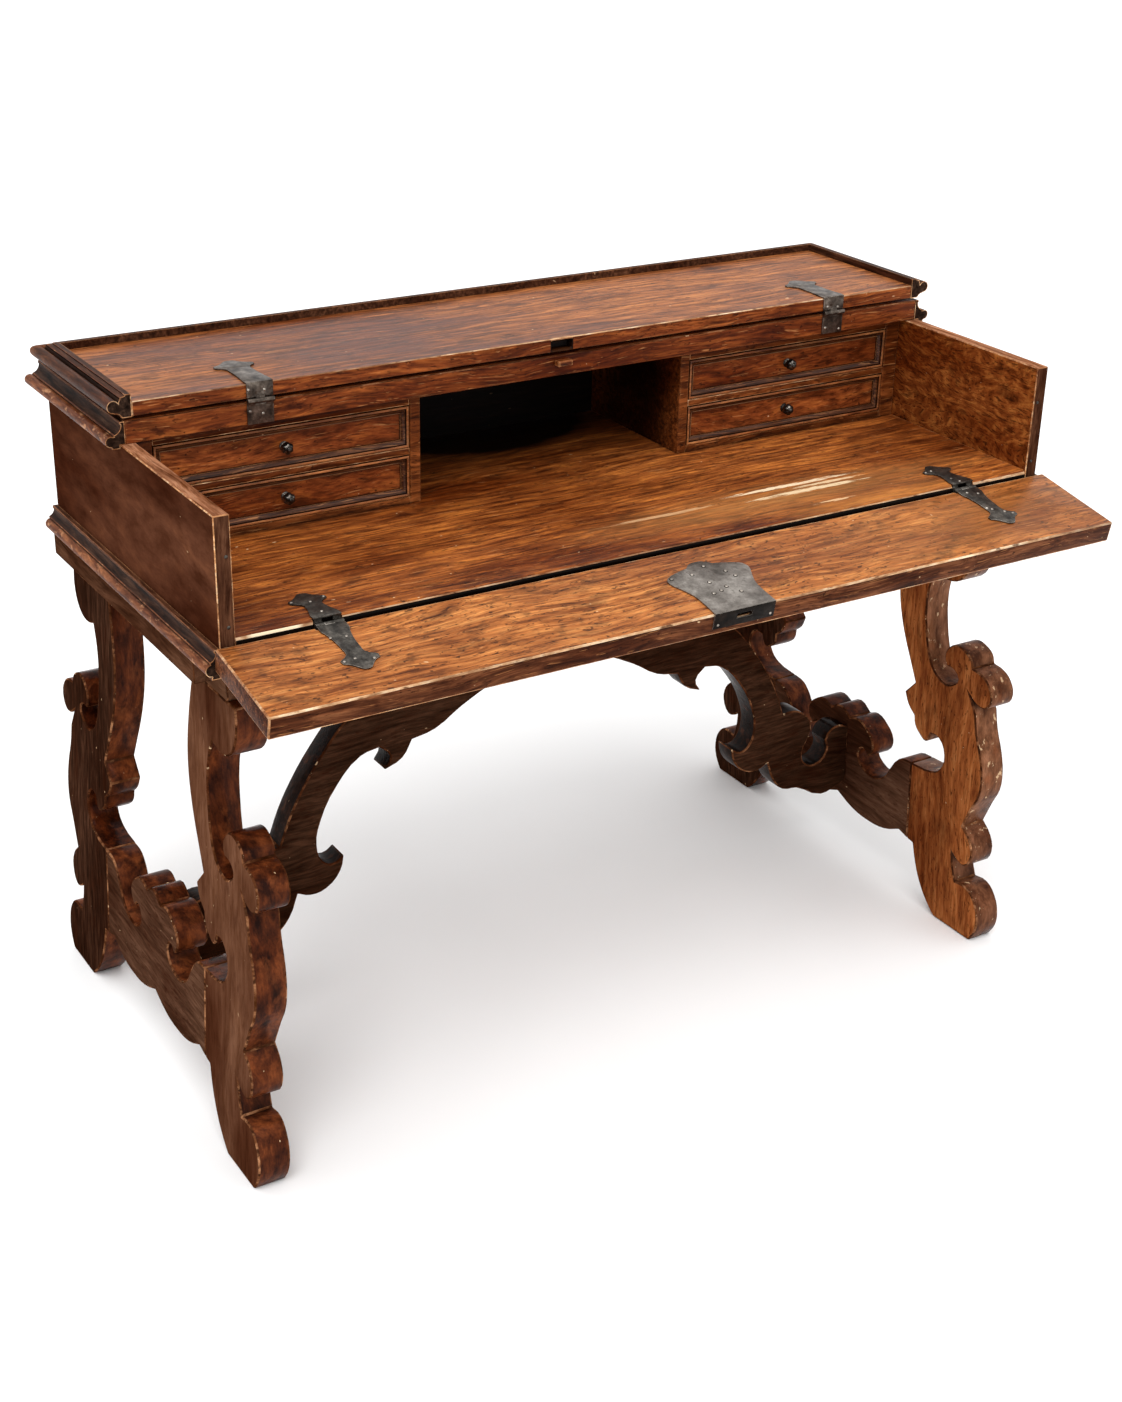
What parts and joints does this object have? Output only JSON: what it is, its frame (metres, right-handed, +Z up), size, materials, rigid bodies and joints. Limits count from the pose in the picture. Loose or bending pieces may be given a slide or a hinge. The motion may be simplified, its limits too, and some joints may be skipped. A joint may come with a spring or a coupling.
{
  "type": "writing desk",
  "caption": "Wooden writing desk with a fold-over lid, hinged fall front, drawers beside a pigeonhole, and scroll-sawn lyre trestles joined by arched braces.",
  "frame": {"origin": "on the floor, under the middle of the desk's bounding box with the fall front down and the lid folded back", "axes": "+X along the desk's width, +Y from the fall front to the back, +Z up"},
  "size_m": [1.34, 0.8473, 1.0128],
  "materials": {
    "dark_walnut": "dark waxed walnut, worn at the edges",
    "warm_walnut": "warm worn walnut",
    "pale_wood": "plain unpolished wood",
    "iron": "dark forged iron"
  },
  "bodies": {
    "desk_frame": {"alignment_peg": "pale_wood", "back_panel": "dark_walnut", "base_board": "warm_walnut", "fixed_top": "warm_walnut", "left_base_leaf": "iron", "left_base_moulding": "dark_walnut", "left_bearer": "dark_walnut", "left_brace": "dark_walnut", "left_front_leg": "dark_walnut", "left_partition": "dark_walnut", "left_rear_leg": "dark_walnut", "left_shelf": "dark_walnut", "left_side": "dark_walnut", "left_stile": "dark_walnut", "left_stretcher": "dark_walnut", "left_top_leaf": "iron", "left_top_moulding": "dark_walnut", "left_top_rail": "dark_walnut", "right_base_leaf": "iron", "right_base_moulding": "dark_walnut", "right_bearer": "dark_walnut", "right_brace": "dark_walnut", "right_front_leg": "dark_walnut", "right_partition": "dark_walnut", "right_rear_leg": "dark_walnut", "right_shelf": "dark_walnut", "right_side": "dark_walnut", "right_stile": "dark_walnut", "right_stretcher": "dark_walnut", "right_top_leaf": "iron", "right_top_moulding": "dark_walnut", "right_top_rail": "dark_walnut"},
    "lid": {"lid_board": "warm_walnut", "lid_left_moulding": "dark_walnut", "lid_right_moulding": "dark_walnut", "lid_back_moulding": "dark_walnut", "left_lid_leaf": "iron", "right_lid_leaf": "iron"},
    "fall": {"fall_front": "warm_walnut", "lock_plate": "iron", "left_fall_leaf": "iron", "right_fall_leaf": "iron"},
    "bolt": {"lock_bolt": "iron"},
    "left_lower_drawer": {"left_lower_front": "dark_walnut", "left_lower_box": "pale_wood", "left_lower_bottom": "pale_wood", "left_lower_knob": "iron"},
    "left_upper_drawer": {"left_upper_front": "dark_walnut", "left_upper_box": "pale_wood", "left_upper_bottom": "pale_wood", "left_upper_knob": "iron"},
    "right_lower_drawer": {"right_lower_front": "dark_walnut", "right_lower_box": "pale_wood", "right_lower_bottom": "pale_wood", "right_lower_knob": "iron"},
    "right_upper_drawer": {"right_upper_front": "dark_walnut", "right_upper_box": "pale_wood", "right_upper_bottom": "pale_wood", "right_upper_knob": "iron"}
  },
  "joints": [
    {"name": "lid_hinge", "type": "hinge", "parent": "desk_frame", "child": "lid", "pos_m": [0, 0.02143, 0.98055], "axis": [1, 0, 0], "range_deg": [0, 180]},
    {"name": "fall_hinge", "type": "hinge", "parent": "desk_frame", "child": "fall", "pos_m": [0, -0.26906, 0.786], "axis": [-1, 0, 0], "range_deg": [0, 100.5]},
    {"name": "lock_slide", "type": "slide", "parent": "fall", "child": "bolt", "axis": [1, 0, 0], "range_m": [0, 0.012]},
    {"name": "left_lower_slide", "type": "slide", "parent": "desk_frame", "child": "left_lower_drawer", "axis": [0, -1, 0], "range_m": [0, 0.16]},
    {"name": "left_upper_slide", "type": "slide", "parent": "desk_frame", "child": "left_upper_drawer", "axis": [0, -1, 0], "range_m": [0, 0.16]},
    {"name": "right_lower_slide", "type": "slide", "parent": "desk_frame", "child": "right_lower_drawer", "axis": [0, -1, 0], "range_m": [0, 0.16]},
    {"name": "right_upper_slide", "type": "slide", "parent": "desk_frame", "child": "right_upper_drawer", "axis": [0, -1, 0], "range_m": [0, 0.16]}
  ]
}
